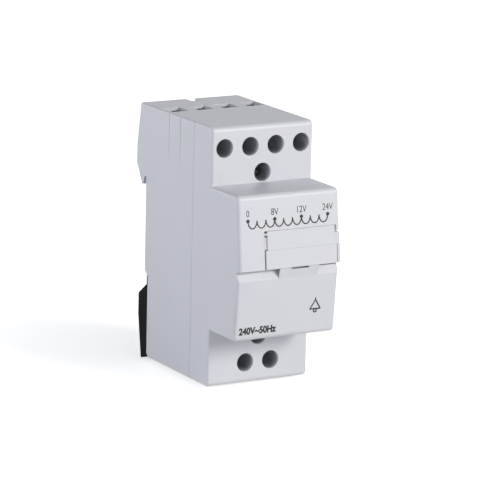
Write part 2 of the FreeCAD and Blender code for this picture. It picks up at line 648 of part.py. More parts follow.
def build_terminal(name, place, side):
    """One clamp terminal: captive screw, lifting cage and contact bar."""
    height = f"{side} * {TERMINAL_Z}"
    screw = turned_screw(name.format("screw"), SCREW_FRONT, f"({SCREW_FRONT} - screw_head_height)",
                         SCREW_TIP, "screw_head", "screw_shank", (place, height))
    cage = new_body(name.format("cage"))
    bind(cage, "Placement.Base.x", place)
    bind(cage, "Placement.Base.z", height)
    half = "(chamber_width / 2 - cage_play)"
    throat = "(bar_reach + bar_thickness + cage_gap)"
    pad(cage, "band", "XY_Plane", "-cage_height / 2", "cage_height / 2", outlines=[
        rectangle(f"-{half}", half, f"-{throat} - cage_front", f"-{CAGE_BACK}"),
        rectangle(f"-{half} + cage_wall", f"{half} - cage_wall", f"-{throat}", f"-{CAGE_BACK} - cage_rear")])
    pocket(cage, "thread", "XZ_Plane", throat, f"{throat} + cage_front",
           circles=[("0", "0", "screw_shank + 2 * thread_play")])
    bar = new_body(name.format("bar"))
    bind(bar, "Placement.Base.x", place)
    ends = (f"{side} * ({CAVITY_Z} - bar_tail)", f"{side} * ({TERMINAL_Z} + cage_height / 2)")
    pad(bar, "strip", "XZ_Plane", "bar_reach", "bar_reach + bar_thickness", outlines=[
        rectangle("-bar_width / 2", "bar_width / 2", *sorted(ends, key=value))])
    return [screw, cage, bar]


def build_core():
    """E and I halves of the laminated core, face to face at the open end of the window."""
    e_half = new_body("e_laminations")
    inner, outer = "(core_leg / 2)", "(core_leg / 2 + window_width)"
    back, root, end = "-core_seat", f"-{WINDOW_BACK}", f"-{WINDOW_FRONT}"
    pad(e_half, "stack", "YZ_Plane", f"-{HALF_STACK}", HALF_STACK, outlines=[[
        (back, f"-{HALF_CORE}"), (back, HALF_CORE), (end, HALF_CORE), (end, outer), (root, outer),
        (root, inner), (end, inner), (end, f"-{inner}"), (root, f"-{inner}"), (root, f"-{outer}"),
        (end, f"-{outer}"), (end, f"-{HALF_CORE}")]])
    i_half = new_body("i_laminations")
    pad(i_half, "stack", "YZ_Plane", f"-{HALF_STACK}", HALF_STACK, outlines=[
        rectangle(f"{end} - core_yoke", end, f"-{HALF_CORE}", HALF_CORE)])
    return [e_half, i_half]


def build_coil():
    """Two-chamber coil former, its two windings and the thermal link on the mains winding."""
    former = new_body("bobbin")
    pad(former, "tube", "XZ_Plane", FORMER_BACK, FORMER_FRONT, outlines=[
        rectangle(f"-{TUBE_X}", TUBE_X, f"-{TUBE_Z}", TUBE_Z)])
    flanges = (FORMER_BACK, f"({SECONDARY_BACK} - former_flange)", f"({FORMER_FRONT} - former_flange)")
    for number, start in enumerate(flanges, start=1):
        pad(former, f"flange_{number}", "XZ_Plane", start, f"{start} + former_flange", outlines=[
            rectangle(f"-{FLANGE_X}", FLANGE_X, f"-{FLANGE_Z}", FLANGE_Z)])
    pocket(former, "leg_hole", "XZ_Plane", FORMER_BACK, FORMER_FRONT, outlines=[
        rectangle(f"-{TUBE_X} + former_wall", f"{TUBE_X} - former_wall",
                  f"-{TUBE_Z} + former_wall", f"{TUBE_Z} - former_wall")])
    pieces = [former]
    corners = [(x * value(COIL_X), z * value(COIL_Z)) for x in SIDES for z in SIDES]
    for label, start in (("primary_winding", PRIMARY_BACK), ("secondary_winding", SECONDARY_BACK)):
        winding = new_body(label)
        pad(winding, "turns", "XZ_Plane", start, f"{start} + {COIL_LENGTH}", outlines=[
            rectangle(f"-{COIL_X}", COIL_X, f"-{COIL_Z}", COIL_Z),
            rectangle(f"-{TUBE_X}", TUBE_X, f"-{TUBE_Z}", TUBE_Z)])
        round_edges(winding, "corners", "winding_round", edge_along(1, *corners))
        pieces.append(winding)
    link = new_body("thermal_link")
    middle = f"({PRIMARY_BACK} + {COIL_LENGTH} / 2)"
    pad(link, "case", "YZ_Plane", COIL_X, f"{COIL_X} + link_thickness", outlines=[
        rectangle(f"-{middle} - link_width / 2", f"-{middle} + link_width / 2",
                  "-link_length / 2", "link_length / 2")])
    round_edges(link, "long_edges", "link_round", edge_along(2, *[
        (value(f"{COIL_X} + link_thickness"), value(f"-{middle} + {hand} * link_width / 2"))
        for hand in SIDES]))
    return pieces + [link]


def bent_wire(label, points):
    """A round wire along straight runs with mitred bends."""
    path = [FreeCAD.Vector(*[value(text) for text in point]) for point in points]
    ring = Part.Wire(Part.makeCircle(value("lead / 2"), path[0], path[1] - path[0]))
    wire = doc.addObject("Part::Feature", label)
    wire.Label = label
    wire.Shape = Part.Wire(Part.makePolygon(path)).makePipeShell([ring], True, False, 1)
    return wire


def build_leads():
    """Leads from the terminal bars to the windings."""
    leads = []
    for name, place, side in terminals():
        hand = 1 if value(place) > 0 else -1
        outermost = abs(value(place)) > value(OUTER_TERMINAL) - NEAR
        coil_back = SECONDARY_BACK if side > 0 else PRIMARY_BACK
        spread = "lead_inset + lead_spread" if outermost else "lead_inset"
        across = f"{hand} * ({HALF_STACK} + {spread})"
        bar = "-bar_reach - bar_thickness / 2"
        coil = f"-{coil_back} - {COIL_LENGTH} / 2"
        tail = f"({CAVITY_Z} - bar_tail)"
        leads.append(bent_wire(name.format("lead"), [
            (place, bar, f"{side} * {tail}"), (place, bar, f"{side} * ({tail} - lead_drop)"),
            (across, coil, f"{side} * ({HALF_CORE} + lead_clearance)"),
            (across, coil, f"{side} * {COIL_Z}")]))
    return leads


def build_fixing_screws():
    """The two screws that draw the cover onto the base."""
    seat = f"({SEAM} + fixing_seat)"
    return [turned_screw(f"fixing_screw_{i}", f"({seat} + fixing_head_height)", seat,
                         f"({PILOT_BACK} + pilot_gap)", "fixing_head", "fixing_shank", ("0", height))
            for i, height in enumerate(FIXING_PLACES, start=1)]


def main():
    """Builds every sub-part, checks it and writes it to its file."""
    bodies = [build_front_cover(), build_rear_base(), build_label_flap(), build_rail_clip()]
    bodies += build_core() + build_coil() + build_leads() + build_fixing_screws()
    for name, place, side in terminals():
        bodies += build_terminal(name, place, side)
    doc.recompute()
    failed = [item.Name for item in doc.Objects if {"Invalid", "Error"} & set(item.State)]
    if failed:
        raise RuntimeError(f"failed: {failed}")
    for body in bodies:
        if body.Shape.isNull() or not body.Shape.isValid():
            raise RuntimeError(f"{body.Label} has no valid shape")
    os.makedirs("parts", exist_ok=True)
    for body in bodies:
        body.Shape.exportStep(f"parts/{body.Label}.step")
        print(body.Label, round(body.Shape.Volume, 2), len(body.Shape.Solids))


main()
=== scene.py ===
"""Looks of a bell transformer in a two-module housing for a 35 mm rail."""
import json
import logging
import math
from dataclasses import dataclass
from enum import Enum
from typing import Any, ClassVar

import bmesh
import bpy
from mathutils import Matrix, Vector

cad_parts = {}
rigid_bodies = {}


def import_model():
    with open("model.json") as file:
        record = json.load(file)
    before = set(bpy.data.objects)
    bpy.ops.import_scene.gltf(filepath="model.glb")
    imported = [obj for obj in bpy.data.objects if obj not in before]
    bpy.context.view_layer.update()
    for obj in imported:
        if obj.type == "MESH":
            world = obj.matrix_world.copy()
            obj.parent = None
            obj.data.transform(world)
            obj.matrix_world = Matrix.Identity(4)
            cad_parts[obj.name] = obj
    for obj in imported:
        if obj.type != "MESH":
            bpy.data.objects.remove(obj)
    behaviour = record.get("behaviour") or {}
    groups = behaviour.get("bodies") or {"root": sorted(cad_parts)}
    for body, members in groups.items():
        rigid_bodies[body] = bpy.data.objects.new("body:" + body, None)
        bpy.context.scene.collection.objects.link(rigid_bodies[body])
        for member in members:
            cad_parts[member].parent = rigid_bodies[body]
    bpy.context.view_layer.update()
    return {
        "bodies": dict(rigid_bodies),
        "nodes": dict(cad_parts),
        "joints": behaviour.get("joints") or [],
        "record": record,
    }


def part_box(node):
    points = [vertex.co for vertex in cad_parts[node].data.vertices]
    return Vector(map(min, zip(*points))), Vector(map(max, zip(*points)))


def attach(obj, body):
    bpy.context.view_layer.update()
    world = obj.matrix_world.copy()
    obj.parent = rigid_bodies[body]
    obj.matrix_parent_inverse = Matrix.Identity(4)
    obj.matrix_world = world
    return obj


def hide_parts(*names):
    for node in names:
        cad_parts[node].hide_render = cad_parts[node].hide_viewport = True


LOG = logging.getLogger("bell_transformer")
MM = 0.001
PHOTO_PIXELS = 480.0
WHITE = "#ffffff"


def linear(colour: str) -> tuple[float, float, float, float]:
    """Turns an sRGB hex colour into linear light, by that standard's curve.

    Args:
        colour: Six hex digits after a hash sign.

    Returns:
        Red, green, blue and an alpha of one.
    """
    parts = [int(colour[i:i + 2], 16) / 255 for i in (1, 3, 5)]
    red, green, blue = [c / 12.92 if c <= 0.04045 else ((c + 0.055) / 1.055) ** 2.4 for c in parts]
    return red, green, blue, 1.0


def per_metre(size_mm: float) -> float:
    """Texture scale that makes one repeat of a pattern a size in millimetres."""
    return 1.0 / (size_mm * MM)


def add_node(tree: bpy.types.NodeTree, kind: str, settings: dict[str, Any] | None = None,
             inputs: dict[str | int, Any] | None = None) -> bpy.types.Node:
    """Adds a node with its settings, its values and its links.

    Args:
        tree: Node tree that gets the node.
        kind: Blender's name of the node type.
        settings: Properties to set on the node.
        inputs: Values or output sockets for the node's inputs, by name or index.

    Returns:
        The new node.
    """
    node = tree.nodes.new(kind)
    for name, setting in (settings or {}).items():
        setattr(node, name, setting)
    for name, given in (inputs or {}).items():
        if isinstance(given, bpy.types.NodeSocket):
            tree.links.new(given, node.inputs[name])
        else:
            node.inputs[name].default_value = given
    return node


def add_object(name: str, data: bpy.types.ID) -> bpy.types.Object:
    """Adds an object to the scene.

    Args:
        name: Name of the object.
        data: Its mesh, curve, lamp or camera.

    Returns:
        The new object.
    """
    thing = bpy.data.objects.new(name, data)
    bpy.context.scene.collection.objects.link(thing)
    return thing


def new_surface(name: str) -> tuple[bpy.types.Material, bpy.types.NodeTree, bpy.types.Node]:
    """Starts a material with a Principled shader on its output.

    Args:
        name: Name of the real material.

    Returns:
        The material, its node tree and the shader.
    """
    material = bpy.data.materials.new(name)
    material.use_nodes = True
    tree = material.node_tree
    tree.nodes.clear()
    shader = add_node(tree, "ShaderNodeBsdfPrincipled")
    add_node(tree, "ShaderNodeOutputMaterial", inputs={"Surface": shader.outputs["BSDF"]})
    return material, tree, shader


@dataclass(frozen=True)
class OuterForm:
    """Outer form of the housing in millimetres, by which the case's finish paints shade deep inside it and
    not on its faces.

    The nose's reach lies just behind its sloping face, so that the painted shade leaves the thin gaps round
    the flap pale.
    """

    half_width: float = 17.5
    block_half: float = 40.5
    block_reach: float = 42.4
    nose_half: float = 22.5
    nose_reach: float = 58.4
    rear_reach: float = 2.4
    # Below a pale lip of this depth, the painted shade in a wire entry grows faster by the steepness.
    entry_lip: float = 1.0
    entry_steepness: float = 4.0


FORM = OuterForm()


@dataclass(frozen=True)
class MouldedCase:
    """Pale grey ABS, injection moulded in a spark-eroded tool: an even cool grey with a fine matt grain.

    The eye gets a soft, slightly glossy skin and edges that are never quite sharp. Shade is painted into the
    colour, so that bores, wire entries and the inside of the housing go dark with depth.
    """

    name: str = "abs_moulded_grey"
    colour: str = "#d1d4da"
    shade: str = "#cdd0d7"
    # Dark grey of the painted shade deep inside the case.
    painted_shade: str = "#96989d"
    roughness: float = 0.4
    gloss_spread: float = 0.05
    specular: float = 0.4
    grain_mm: float = 0.35
    grain_depth_mm: float = 0.004
    grain_detail: float = 3.0
    grain_strength: float = 0.5
    flow_mm: float = 16.0
    flow_detail: float = 2.0
    edge_mm: float = 0.14
    edge_samples: int = 6
    # Depths in millimetres at which the painted shade starts and is full, and its share at full depth.
    painted_shade_start_mm: float = 0.4
    painted_shade_full_mm: float = 1.9
    painted_shade_share: float = 0.9

    def build(self) -> bpy.types.Material:
        """Builds the case's material: flow tone, fine grain, soft edges and painted shade in recesses.

        Returns:
            The material.
        """
        material, tree, shader = new_surface(self.name)
        place = add_node(tree, "ShaderNodeTexCoord")
        flow = add_node(tree, "ShaderNodeTexNoise", inputs={
            "Vector": place.outputs["Object"], "Scale": per_metre(self.flow_mm), "Detail": self.flow_detail})
        # The real grain is about 0.05 mm; it is drawn coarser so that it shows in the render.
        grain = add_node(tree, "ShaderNodeTexNoise", inputs={
            "Vector": place.outputs["Object"], "Scale": per_metre(self.grain_mm),
            "Detail": self.grain_detail})
        tone = add_node(tree, "ShaderNodeMix", {"data_type": "RGBA"}, {
            "Factor": flow.outputs["Fac"], "A": linear(self.colour), "B": linear(self.shade)})
        # Painted shade: deep inside the outer form, in bores, wire entries and the inside of the housing, the
        # tone is mixed towards a dark grey.
        depth = add_node(tree, "ShaderNodeMapRange", {"interpolation_type": "SMOOTHSTEP"}, {
            "Value": self.depth_inside(tree, place.outputs["Object"]),
            "From Min": self.painted_shade_start_mm * MM, "From Max": self.painted_shade_full_mm * MM,
            "To Max": self.painted_shade_share})
        deep = add_node(tree, "ShaderNodeMix", {"data_type": "RGBA"}, {
            "Factor": depth.outputs["Result"], "A": tone.outputs["Result"], "B": linear(self.painted_shade)})
        gloss = add_node(tree, "ShaderNodeMapRange", inputs={
            "Value": grain.outputs["Fac"], "To Min": self.roughness - self.gloss_spread,
            "To Max": self.roughness + self.gloss_spread})
        edge = add_node(tree, "ShaderNodeBevel", {"samples": self.edge_samples}, {
            "Radius": self.edge_mm * MM})
        bump = add_node(tree, "ShaderNodeBump", inputs={
            "Height": grain.outputs["Fac"], "Strength": self.grain_strength,
            "Distance": self.grain_depth_mm * MM, "Normal": edge.outputs["Normal"]})
        tree.links.new(deep.outputs["Result"], shader.inputs["Base Color"])
        tree.links.new(gloss.outputs["Result"], shader.inputs["Roughness"])
        tree.links.new(bump.outputs["Normal"], shader.inputs["Normal"])
        shader.inputs["Specular IOR Level"].default_value = self.specular
        return material

    def depth_inside(self, tree: bpy.types.NodeTree, place: bpy.types.NodeSocket) -> bpy.types.NodeSocket:
        """Adds nodes for how deep a point lies inside the outer form of block and nose, which sets how much
        shade is painted there.

        Args:
            tree: Node tree of the material.
            place: Object coordinates.

        Returns:
            The depth in metres, negative outside.
        """
        axes = add_node(tree, "ShaderNodeSeparateXYZ", inputs={"Vector": place})
        across = add_node(tree, "ShaderNodeMath", {"operation": "ABSOLUTE"}, {0: axes.outputs["X"]})
        height = add_node(tree, "ShaderNodeMath", {"operation": "ABSOLUTE"}, {0: axes.outputs["Z"]})
        side = add_node(tree, "ShaderNodeMath", {"operation": "SUBTRACT"}, {
            0: FORM.half_width * MM, 1: across.outputs["Value"]})
        forms = []
        for half_height, reach in ((FORM.block_half, FORM.block_reach), (FORM.nose_half, FORM.nose_reach)):
            # The painted shade leaves the lip of a wire entry pale, and darkens the throat behind it at once.
            lip = add_node(tree, "ShaderNodeMath", {"operation": "SUBTRACT"}, {
                0: (half_height - FORM.entry_lip) * MM, 1: height.outputs["Value"]})
            top = add_node(tree, "ShaderNodeMath", {"operation": "MULTIPLY"}, {
                0: lip.outputs["Value"], 1: FORM.entry_steepness})
            front = add_node(tree, "ShaderNodeMath", {"operation": "ADD"}, {
                0: axes.outputs["Y"], 1: reach * MM})
            upright = add_node(tree, "ShaderNodeMath", {"operation": "MINIMUM"}, {
                0: top.outputs["Value"], 1: front.outputs["Value"]})
            forms.append(add_node(tree, "ShaderNodeMath", {"operation": "MINIMUM"}, {
                0: upright.outputs["Value"], 1: side.outputs["Value"]}))
        block, nose = forms
        whole = add_node(tree, "ShaderNodeMath", {"operation": "MAXIMUM"}, {
            0: block.outputs["Value"], 1: nose.outputs["Value"]})
        rear = add_node(tree, "ShaderNodeMath", {"operation": "SUBTRACT"}, {
            0: -FORM.rear_reach * MM, 1: axes.outputs["Y"]})
        inside = add_node(tree, "ShaderNodeMath", {"operation": "MINIMUM"}, {
            0: whole.outputs["Value"], 1: rear.outputs["Value"]})
        return inside.outputs["Value"]


@dataclass(frozen=True)
class Patchy:
    """A finish that wanders between two tones, and between more and less gloss, in soft patches."""

    name: str
    colour: str
    patch: str
    roughness: float
    gloss_spread: float = 0.0
    patch_mm: float = 0.5
    patch_detail: float = 2.0

    def start(self) -> tuple[bpy.types.Material, bpy.types.NodeTree, bpy.types.Node]:
        """Starts the material with its patches.

        Returns:
            The material, its node tree and the shader.
        """
        material, tree, shader = new_surface(self.name)
        place = add_node(tree, "ShaderNodeTexCoord")
        patch = add_node(tree, "ShaderNodeTexNoise", inputs={
            "Vector": place.outputs["Object"], "Scale": per_metre(self.patch_mm),
            "Detail": self.patch_detail})
        tone = add_node(tree, "ShaderNodeMix", {"data_type": "RGBA"}, {
            "Factor": patch.outputs["Fac"], "A": linear(self.colour), "B": linear(self.patch)})
        tree.links.new(tone.outputs["Result"], shader.inputs["Base Color"])
        if self.gloss_spread:
            gloss = add_node(tree, "ShaderNodeMapRange", inputs={
                "Value": patch.outputs["Fac"], "To Min": self.roughness - self.gloss_spread,
                "To Max": self.roughness + self.gloss_spread})
            tree.links.new(gloss.outputs["Result"], shader.inputs["Roughness"])
        else:
            shader.inputs["Roughness"].default_value = self.roughness
        return material, tree, shader


@dataclass(frozen=True)
class FilledPlastic(Patchy):
    """Filled plastic, moulded or extruded: satin, with a filler that shows as a faint mottle."""

    gloss_spread: float = 0.08
    patch_mm: float = 1.2
    patch_detail: float = 4.0
    specular: float = 0.4
    grain_mm: float = 0.4
    grain_depth_mm: float = 0.006
    grain_detail: float = 2.0
    grain_strength: float = 0.6

    def build(self) -> bpy.types.Material:
        """Builds the plastic's material from its mottle and a fine grain.

        Returns:
            The material.
        """
        material, tree, shader = self.start()
        place = add_node(tree, "ShaderNodeTexCoord")
        grain = add_node(tree, "ShaderNodeTexNoise", inputs={
            "Vector": place.outputs["Object"], "Scale": per_metre(self.grain_mm),
            "Detail": self.grain_detail})
        bump = add_node(tree, "ShaderNodeBump", inputs={
            "Height": grain.outputs["Fac"], "Strength": self.grain_strength,
            "Distance": self.grain_depth_mm * MM})
        tree.links.new(bump.outputs["Normal"], shader.inputs["Normal"])
        shader.inputs["Specular IOR Level"].default_value = self.specular
        return material


@dataclass(frozen=True)
class WorkedMetal(Patchy):
    """Plated or stamped metal: a bright tone clouded by the plating and dulled in patches."""

    gloss_spread: float = 0.1
    patch_mm: float = 2.5
    patch_detail: float = 5.0

    def build(self) -> bpy.types.Material:
        """Builds the metal from its clouds.

        Returns:
            The material.
        """
        material, _, shader = self.start()
        shader.inputs["Metallic"].default_value = 1.0
        return material


@dataclass(frozen=True)
class PadInk(Patchy):
    """Pad-printed ink: a thin dark film, a little thinner in places where the pad let go."""

    name: str = "ink_pad_printed"
    colour: str = "#0d0e11"
    patch: str = "#1d1f24"
    roughness: float = 0.5

    def build(self) -> bpy.types.Material:
        """Builds the ink from two tones of film."""
        return self.start()[0]


class Across(Enum):
    """Axis that a banded finish repeats along."""

    X = "X"
    Y = "Y"


@dataclass(frozen=True)
class Banded:
    """A finish laid in even bands: stacked steel sheets, or turns of overlapping tape."""

    name: str
    colour: str
    edge: str
    band_mm: float
    across: Across
    roughness: float
    metallic: float
    gloss_spread: float = 0.1
    edge_depth_mm: float = 0.03
    edge_strength: float = 0.8
    line_start: float = 0.72
    line_full: float = 0.98
    stain_mm: float = 3.0
    stain_detail: float = 4.0

    def build(self) -> bpy.types.Material:
        """Builds the bands as a saw-tooth along one axis, with a dark line where each band ends.

        Returns:
            The material.
        """
        material, tree, shader = new_surface(self.name)
        place = add_node(tree, "ShaderNodeTexCoord")
        axes = add_node(tree, "ShaderNodeSeparateXYZ", inputs={"Vector": place.outputs["Object"]})
        along = add_node(tree, "ShaderNodeMath", {"operation": "MULTIPLY"}, {
            0: axes.outputs[self.across.value], 1: per_metre(self.band_mm)})
        tooth = add_node(tree, "ShaderNodeMath", {"operation": "FRACT"}, {0: along.outputs["Value"]})
        line = add_node(tree, "ShaderNodeMapRange", {"interpolation_type": "SMOOTHSTEP"}, {
            "Value": tooth.outputs["Value"], "From Min": self.line_start, "From Max": self.line_full})
        stain = add_node(tree, "ShaderNodeTexNoise", inputs={
            "Vector": place.outputs["Object"], "Scale": per_metre(self.stain_mm),
            "Detail": self.stain_detail})
        tone = add_node(tree, "ShaderNodeMix", {"data_type": "RGBA"}, {
            "Factor": line.outputs["Result"], "A": linear(self.colour), "B": linear(self.edge)})
        gloss = add_node(tree, "ShaderNodeMapRange", inputs={
            "Value": stain.outputs["Fac"], "To Min": self.roughness - self.gloss_spread,
            "To Max": self.roughness + self.gloss_spread})
        bump = add_node(tree, "ShaderNodeBump", {"invert": True}, {
            "Height": line.outputs["Result"], "Strength": self.edge_strength,
            "Distance": self.edge_depth_mm * MM})
        tree.links.new(tone.outputs["Result"], shader.inputs["Base Color"])
        tree.links.new(gloss.outputs["Result"], shader.inputs["Roughness"])
        tree.links.new(bump.outputs["Normal"], shader.inputs["Normal"])
        shader.inputs["Metallic"].default_value = self.metallic
        return material


@dataclass(frozen=True)
class PaperSweep:
    """White paper under the object: matt, and white to the eye apart from a soft shadow.

    It glows for the camera and for reflections alone. The glow is weaker near the object, where the
    paper has to keep its shadow, and full from a distance in millimetres.
    """

    name: str = "paper_white_sweep"
    colour: str = "#e6e6e6"
    roughness: float = 0.9
    specular: float = 0.0
    shadow_near: float = 30.0
    shadow_far: float = 150.0
    glow_near: float = 0.64
    glow_far: float = 1.0

    def build(self) -> bpy.types.Material:
        """Builds the paper and its glow.

        Returns:
            The material.
        """
        material, tree, shader = new_surface(self.name)
        shader.inputs["Roughness"].default_value = self.roughness
        shader.inputs["Specular IOR Level"].default_value = self.specular
        shader.inputs["Base Color"].default_value = linear(self.colour)
        rays = add_node(tree, "ShaderNodeLightPath")
        seen = add_node(tree, "ShaderNodeMath", {"operation": "ADD", "use_clamp": True}, {
            0: rays.outputs["Is Camera Ray"], 1: rays.outputs["Is Glossy Ray"]})
        place = add_node(tree, "ShaderNodeTexCoord")
        away = add_node(tree, "ShaderNodeVectorMath", {"operation": "LENGTH"}, {0: place.outputs["Object"]})
        strength = add_node(tree, "ShaderNodeMapRange", {"interpolation_type": "SMOOTHSTEP"}, {
            "Value": away.outputs["Value"], "From Min": self.shadow_near * MM,
            "From Max": self.shadow_far * MM, "To Min": self.glow_near, "To Max": self.glow_far})
        glow = add_node(tree, "ShaderNodeEmission", inputs={"Strength": strength.outputs["Result"]})
        lit = add_node(tree, "ShaderNodeAddShader", inputs={
            0: shader.outputs["BSDF"], 1: glow.outputs["Emission"]})
        mixed = add_node(tree, "ShaderNodeMixShader", inputs={
            "Fac": seen.outputs["Value"], 1: shader.outputs["BSDF"], 2: lit.outputs["Shader"]})
        tree.links.new(mixed.outputs["Shader"], tree.nodes["Material Output"].inputs["Surface"])
        return material


Finish = MouldedCase | FilledPlastic | WorkedMetal | Banded | PadInk | PaperSweep

CASE = MouldedCase()
# Glass-filled nylon gives a deep black that hardly shines.
CLIP_NYLON = FilledPlastic(
    name="nylon_black_moulded", colour="#0b0c0d", patch="#151618", roughness=0.6, specular=0.03)
# Undyed nylon gives a warm ivory.
FORMER_NYLON = FilledPlastic(
    name="nylon_natural_moulded", colour="#d9d0b8", patch="#e6dfcb", roughness=0.45)
# Epoxy with a mineral filler gives a dark grey with a dull shine.
LINK_EPOXY = FilledPlastic(name="epoxy_black_moulded", colour="#2a2a2d", patch="#363639", roughness=0.4)
# Extruded PVC gives an even red with a soft shine.
LEAD_SLEEVE = FilledPlastic(name="pvc_red_extruded", colour="#a3262a", patch="#b23236", roughness=0.35)
# Zinc plating gives a bright cool grey with dull clouds.
ZINC_STEEL = WorkedMetal(name="steel_zinc_plated", colour="#c3c4c2", patch="#a9aaa6", roughness=0.35)
# Black passivation gives a smoky grey.
DARK_STEEL = WorkedMetal(name="steel_black_passivated", colour="#7c7d7e", patch="#646565", roughness=0.4)
# Stamped brass gives a warm yellow shine.
BRASS = WorkedMetal(name="brass_stamped", colour="#d6b36a", patch="#bf9a55", roughness=0.32)
# Real sheets are 0.35 to 0.5 mm thick, and give grey stripes with dark joints.
CORE_STACK = Banded(name="silicon_steel_laminated", colour="#8d8f93", edge="#4b4c50", band_mm=0.5,
                    across=Across.X, roughness=0.45, metallic=1.0)
# Polyester tape gives glossy amber turns.
WINDING_TAPE = Banded(name="polyester_tape_wound", colour="#d8a52c", edge="#b07c17", band_mm=2.4,
                      across=Across.Y, roughness=0.25, metallic=0.0)
PRINT_INK = PadInk()
FLOOR_PAPER = PaperSweep()


def material_of(finish: Finish) -> bpy.types.Material:
    """The material of a finish, built when it is first asked for."""
    return bpy.data.materials.get(finish.name) or finish.build()


def dress(frame: dict[str, Any], finish: Finish, nodes: list[str]) -> None:
    """Gives CAD nodes one finish.

    Args:
        frame: The loaded frame.
        finish: Finish of the nodes.
        nodes: Names of the CAD nodes.
    """
    material = material_of(finish)
    for name in nodes:
        mesh = frame["nodes"][name].data
        mesh.materials.clear()
        mesh.materials.append(material)
        LOG.info("%s: %s", name, material.name)


class Socket(Enum):
    """Kinds of input that the Geometry Nodes trees here take."""

    SIZE = "NodeSocketFloat"
    COUNT = "NodeSocketInt"
    FINISH = "NodeSocketMaterial"
    SHAPE = "NodeSocketGeometry"


def new_tree(name: str, inputs: dict[str, Socket]) -> tuple[bpy.types.NodeTree, bpy.types.Node]:
    """Starts a Geometry Nodes tree with named inputs and a geometry output.

    Args:
        name: Name of the tree.
        inputs: Kind of each input, by its name.

    Returns:
        The tree and its group input node.
    """
    tree = bpy.data.node_groups.new(name, "GeometryNodeTree")
    tree.interface.new_socket("Geometry", in_out="OUTPUT", socket_type=Socket.SHAPE.value)
    for label, kind in inputs.items():
        tree.interface.new_socket(label, in_out="INPUT", socket_type=kind.value)
    return tree, add_node(tree, "NodeGroupInput")


def end_tree(tree: bpy.types.NodeTree, shape: bpy.types.NodeSocket, finish: bpy.types.NodeSocket) -> None:
    """Ends a Geometry Nodes tree with real geometry in one finish.

    Args:
        tree: The tree.
        shape: Socket that gives the shape.
        finish: Socket that gives its material.
    """
    real = add_node(tree, "GeometryNodeRealizeInstances", inputs={"Geometry": shape})
    dressed = add_node(tree, "GeometryNodeSetMaterial", inputs={
        "Geometry": real.outputs["Geometry"], "Material": finish})
    add_node(tree, "NodeGroupOutput", inputs={"Geometry": dressed.outputs["Geometry"]})


def evaluated_mesh(thing: bpy.types.Object, name: str) -> bpy.types.Mesh:
    """Turns an object with live modifiers or a curve into a plain mesh and removes the object.

    Args:
        thing: Object that is only needed for its result.
        name: Name of the mesh.

    Returns:
        The plain mesh.
    """
    bpy.context.view_layer.update()
    graph = bpy.context.evaluated_depsgraph_get()
    mesh = bpy.data.meshes.new_from_object(thing.evaluated_get(graph))
    mesh.name = name
    bpy.data.objects.remove(thing)
    return mesh


def grown_mesh(name: str, start: bpy.types.ID, tree: bpy.types.NodeTree,
               values: dict[str, Any]) -> bpy.types.Mesh:
    """Runs a Geometry Nodes tree once and keeps its result as a plain mesh.

    Args:
        name: Name of the mesh.
        start: Mesh or curve that the tree starts from.
        tree: The tree.
        values: Values of the tree's inputs, by their names.

    Returns:
        The plain mesh.
    """
    holder = add_object(f"{name}_holder", start)
    modifier = holder.modifiers.new(name, "NODES")
    modifier.node_group = tree
    for item in tree.interface.items_tree:
        if item.item_type == "SOCKET" and item.in_out == "INPUT" and item.name in values:
            modifier[item.identifier] = values[item.name]
    return evaluated_mesh(holder, name)


@dataclass(frozen=True)
class SlopingFace:
    """A flat sloping face of the nose, by its reach in front of the rail at two levels."""

    low: float
    low_reach: float
    high: float
    high_reach: float

    def reach(self, level: float) -> float:
        """How far the face stands in front of the rail at a level, in millimetres."""
        share = (level - self.low) / (self.high - self.low)
        return self.low_reach + share * (self.high_reach - self.low_reach)

    def place(self, across: float, level: float) -> Matrix:
        """Frame on the face: first axis to the right, second up the slope, third out of it.

        Args:
            across: Place along the rail, in millimetres.
            level: Height of the frame's origin, in millimetres.

        Returns:
            The frame's matrix in metres.
        """
        slope = (self.high_reach - self.low_reach) / (self.high - self.low)
        up = Vector((0.0, -slope, 1.0)).normalized()
        right = Vector((1.0, 0.0, 0.0))
        out = right.cross(up)
        spot = Vector((across, -self.reach(level), level)) * MM
        turn = Matrix((right, up, out)).transposed().to_4x4()
        return Matrix.Translation(spot) @ turn


NOSE_FACE = SlopingFace(low=-0.3, low_reach=60.9, high=22.5, high_reach=58.5)
CHIN_FACE = SlopingFace(low=-22.5, low_reach=58.3, high=-3.6, high_reach=59.9)


class Align(Enum):
    """Which part of printed figures stands at their origin."""

    LEFT = "LEFT"
    MIDDLE = "CENTER"


@dataclass(frozen=True)
class TypeStyle:
    """Style of printed figures: size and added stroke in millimetres, width against the usual one."""

    size: float
    narrow: float
    align: Align
    weight: float = 0.0


@dataclass(frozen=True)
class BellSign:
    """Lines of a plain bell, flat round the middle of its rim.

    Width, height and line are in millimetres. The stem's top and the flare's levels are shares of the
    height, the taper, crown, rim and clapper shares of half the width, and the clapper's drop is a
    share of the clapper.
    """

    width: float = 3.6
    height: float = 2.6
    line: float = 0.42
    stem_top: float = 1.38
    flare_levels: tuple[float, ...] = (0.0, 0.5, 0.85)
    flare_taper: float = 0.9
    crown: float = 0.12
    rim: float = 1.08
    clapper: float = 0.28
    clapper_drop: float = 1.1
    clapper_steps: int = 16

    def lines(self) -> list[list[tuple[float, float]]]:
        """Works out the flared body, the rim, the clapper and the stem.

        Returns:
            The points of each line, in millimetres.
        """
        half, top = self.width / 2, self.height
        flare = [(half * (1 - self.flare_taper * share), top * share) for share in self.flare_levels]
        flare.append((self.crown * half, top))
        body = [*flare, *[(-x, y) for x, y in reversed(flare)]]
        rim = [(-self.rim * half, 0.0), (self.rim * half, 0.0)]
        radius = self.clapper * half
        turns = [2 * math.pi * step / self.clapper_steps for step in range(self.clapper_steps + 1)]
        clapper = [(radius * math.sin(turn), radius * (math.cos(turn) - self.clapper_drop))
                   for turn in turns]
        return [body, rim, clapper, [(0.0, top), (0.0, top * self.stem_top)]]


